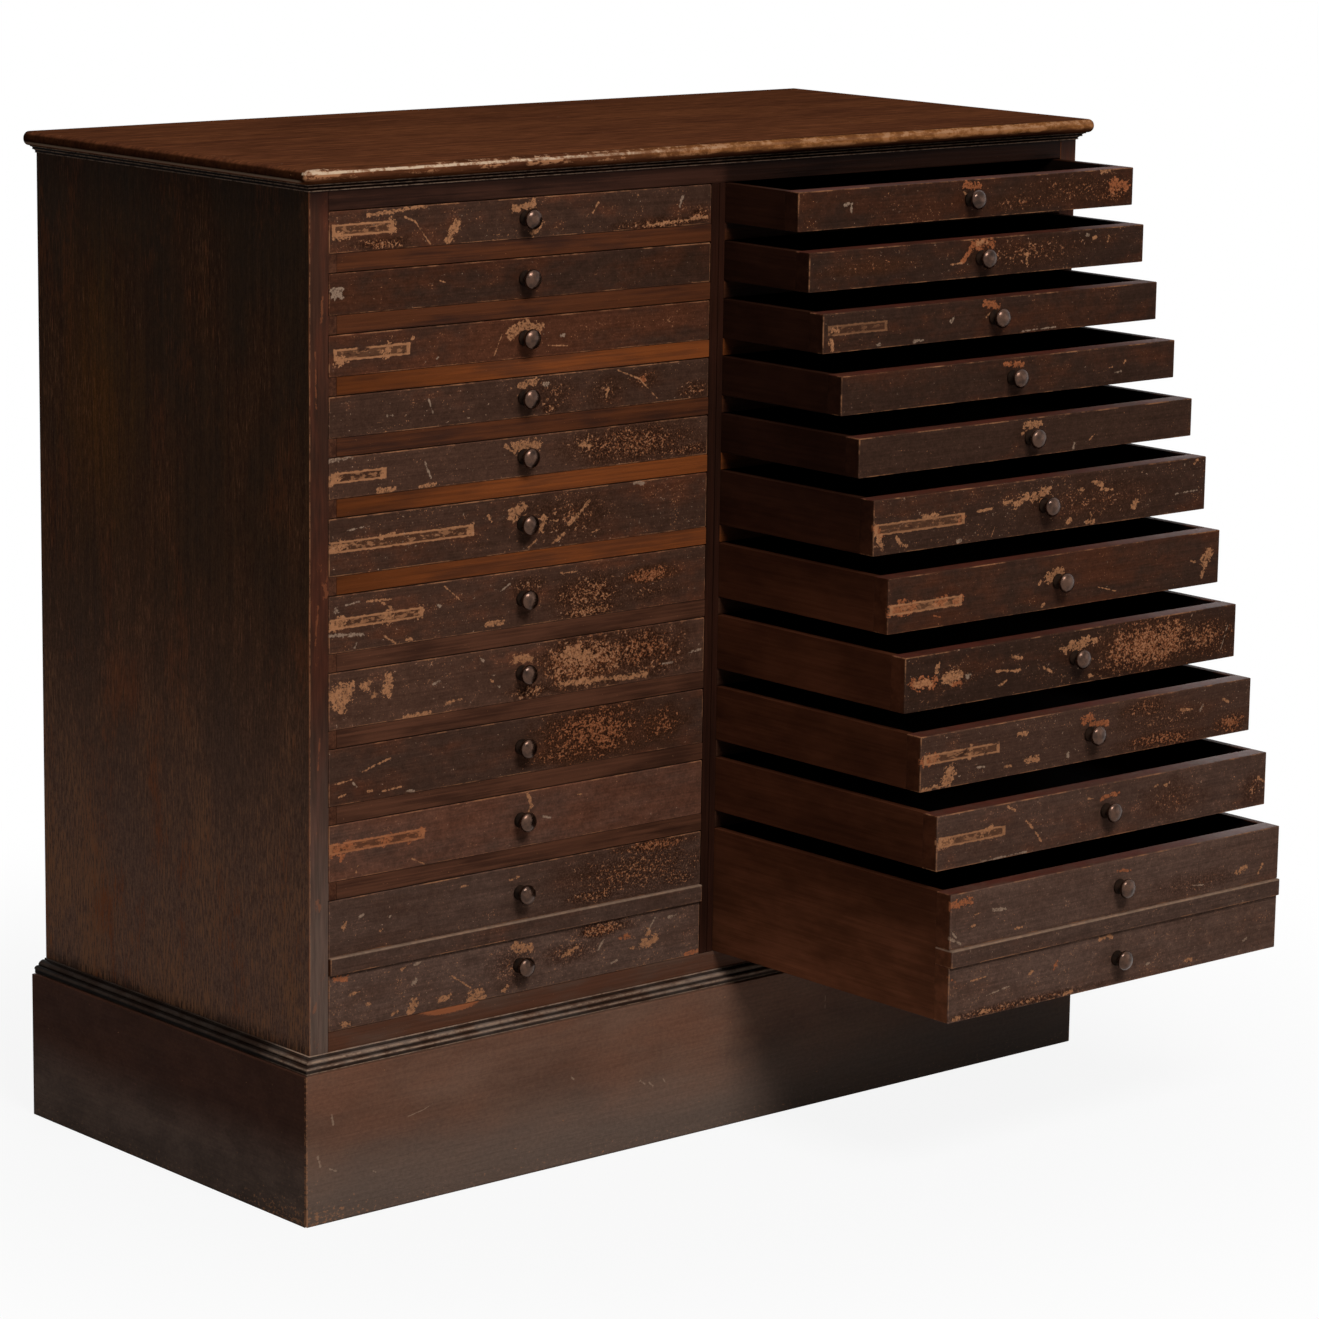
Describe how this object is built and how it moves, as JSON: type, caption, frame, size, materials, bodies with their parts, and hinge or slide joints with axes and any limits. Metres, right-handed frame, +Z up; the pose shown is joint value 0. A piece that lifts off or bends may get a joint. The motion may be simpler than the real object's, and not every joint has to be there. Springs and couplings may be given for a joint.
{
  "type": "collectors cabinet",
  "caption": "Wooden collectors cabinet with banks of shallow and deep drawers, turned knobs, a moulded top and a reeded plinth.",
  "frame": {"origin": "on the floor under the middle of the carcass, at the underside of the plinth bearer", "axes": "+X to the cabinet's right seen from the front, +Y to its back, +Z up; drawers slide along -Y"},
  "size_m": [1.035, 0.8098, 1.0045],
  "materials": {
    "case": "dark stained and polished, worn",
    "front_frame": "worn red-brown varnish",
    "drawers": "worn and scratched dark finish",
    "top": "worn red-brown polish",
    "plinth": "worn brown finish",
    "inner": "unfinished",
    "knobs": "dark patinated, satin"
  },
  "bodies": {
    "carcass": {"left_side": "case", "right_side": "case", "centre_partition": "inner", "front_frame": "front_frame", "back_panel": "inner", "bottom_board": "inner", "top_board": "top", "top_moulding": "case", "plinth_front": "plinth", "plinth_left": "plinth", "plinth_right": "plinth", "plinth_back": "inner", "plinth_bearer": "inner", "plinth_cap": "plinth"},
    "drawer_left_01": {"drawer_left_01": "drawers", "knob_left_01": "knobs"},
    "drawer_left_02": {"drawer_left_02": "drawers", "knob_left_02": "knobs"},
    "drawer_left_03": {"drawer_left_03": "drawers", "knob_left_03": "knobs"},
    "drawer_left_04": {"drawer_left_04": "drawers", "knob_left_04": "knobs"},
    "drawer_left_05": {"drawer_left_05": "drawers", "knob_left_05": "knobs"},
    "drawer_left_06": {"drawer_left_06": "drawers", "knob_left_06": "knobs"},
    "drawer_left_07": {"drawer_left_07": "drawers", "knob_left_07": "knobs"},
    "drawer_left_08": {"drawer_left_08": "drawers", "knob_left_08": "knobs"},
    "drawer_left_09": {"drawer_left_09": "drawers", "knob_left_09": "knobs"},
    "drawer_left_10": {"drawer_left_10": "drawers", "knob_left_10": "knobs"},
    "drawer_left_11": {"drawer_left_11": "drawers", "knob_left_11a": "knobs", "knob_left_11b": "knobs"},
    "drawer_right_01": {"drawer_right_01": "drawers", "knob_right_01": "knobs"},
    "drawer_right_02": {"drawer_right_02": "drawers", "knob_right_02": "knobs"},
    "drawer_right_03": {"drawer_right_03": "drawers", "knob_right_03": "knobs"},
    "drawer_right_04": {"drawer_right_04": "drawers", "knob_right_04": "knobs"},
    "drawer_right_05": {"drawer_right_05": "drawers", "knob_right_05": "knobs"},
    "drawer_right_06": {"drawer_right_06": "drawers", "knob_right_06": "knobs"},
    "drawer_right_07": {"drawer_right_07": "drawers", "knob_right_07": "knobs"},
    "drawer_right_08": {"drawer_right_08": "drawers", "knob_right_08": "knobs"},
    "drawer_right_09": {"drawer_right_09": "drawers", "knob_right_09": "knobs"},
    "drawer_right_10": {"drawer_right_10": "drawers", "knob_right_10": "knobs"},
    "drawer_right_11": {"drawer_right_11": "drawers", "knob_right_11a": "knobs", "knob_right_11b": "knobs"}
  },
  "joints": [
    {"name": "slide_left_01", "type": "slide", "parent": "carcass", "child": "drawer_left_01", "axis": [0, -1, 0], "range_m": [0, 0.379]},
    {"name": "slide_left_02", "type": "slide", "parent": "carcass", "child": "drawer_left_02", "axis": [0, -1, 0], "range_m": [0, 0.379]},
    {"name": "slide_left_03", "type": "slide", "parent": "carcass", "child": "drawer_left_03", "axis": [0, -1, 0], "range_m": [0, 0.379]},
    {"name": "slide_left_04", "type": "slide", "parent": "carcass", "child": "drawer_left_04", "axis": [0, -1, 0], "range_m": [0, 0.379]},
    {"name": "slide_left_05", "type": "slide", "parent": "carcass", "child": "drawer_left_05", "axis": [0, -1, 0], "range_m": [0, 0.379]},
    {"name": "slide_left_06", "type": "slide", "parent": "carcass", "child": "drawer_left_06", "axis": [0, -1, 0], "range_m": [0, 0.379]},
    {"name": "slide_left_07", "type": "slide", "parent": "carcass", "child": "drawer_left_07", "axis": [0, -1, 0], "range_m": [0, 0.379]},
    {"name": "slide_left_08", "type": "slide", "parent": "carcass", "child": "drawer_left_08", "axis": [0, -1, 0], "range_m": [0, 0.379]},
    {"name": "slide_left_09", "type": "slide", "parent": "carcass", "child": "drawer_left_09", "axis": [0, -1, 0], "range_m": [0, 0.379]},
    {"name": "slide_left_10", "type": "slide", "parent": "carcass", "child": "drawer_left_10", "axis": [0, -1, 0], "range_m": [0, 0.379]},
    {"name": "slide_left_11", "type": "slide", "parent": "carcass", "child": "drawer_left_11", "axis": [0, -1, 0], "range_m": [0, 0.379]},
    {"name": "slide_right_01", "type": "slide", "parent": "carcass", "child": "drawer_right_01", "axis": [0, -1, 0], "range_m": [-0.10568, 0.27332]},
    {"name": "slide_right_02", "type": "slide", "parent": "carcass", "child": "drawer_right_02", "axis": [0, -1, 0], "range_m": [-0.12312, 0.25588]},
    {"name": "slide_right_03", "type": "slide", "parent": "carcass", "child": "drawer_right_03", "axis": [0, -1, 0], "range_m": [-0.14467, 0.23433]},
    {"name": "slide_right_04", "type": "slide", "parent": "carcass", "child": "drawer_right_04", "axis": [0, -1, 0], "range_m": [-0.17237, 0.20663]},
    {"name": "slide_right_05", "type": "slide", "parent": "carcass", "child": "drawer_right_05", "axis": [0, -1, 0], "range_m": [-0.19939, 0.17961]},
    {"name": "slide_right_06", "type": "slide", "parent": "carcass", "child": "drawer_right_06", "axis": [0, -1, 0], "range_m": [-0.22196, 0.15704]},
    {"name": "slide_right_07", "type": "slide", "parent": "carcass", "child": "drawer_right_07", "axis": [0, -1, 0], "range_m": [-0.24453, 0.13447]},
    {"name": "slide_right_08", "type": "slide", "parent": "carcass", "child": "drawer_right_08", "axis": [0, -1, 0], "range_m": [-0.27086, 0.10814]},
    {"name": "slide_right_09", "type": "slide", "parent": "carcass", "child": "drawer_right_09", "axis": [0, -1, 0], "range_m": [-0.29515, 0.08385]},
    {"name": "slide_right_10", "type": "slide", "parent": "carcass", "child": "drawer_right_10", "axis": [0, -1, 0], "range_m": [-0.32045, 0.05855]},
    {"name": "slide_right_11", "type": "slide", "parent": "carcass", "child": "drawer_right_11", "axis": [0, -1, 0], "range_m": [-0.342, 0.037]}
  ]
}
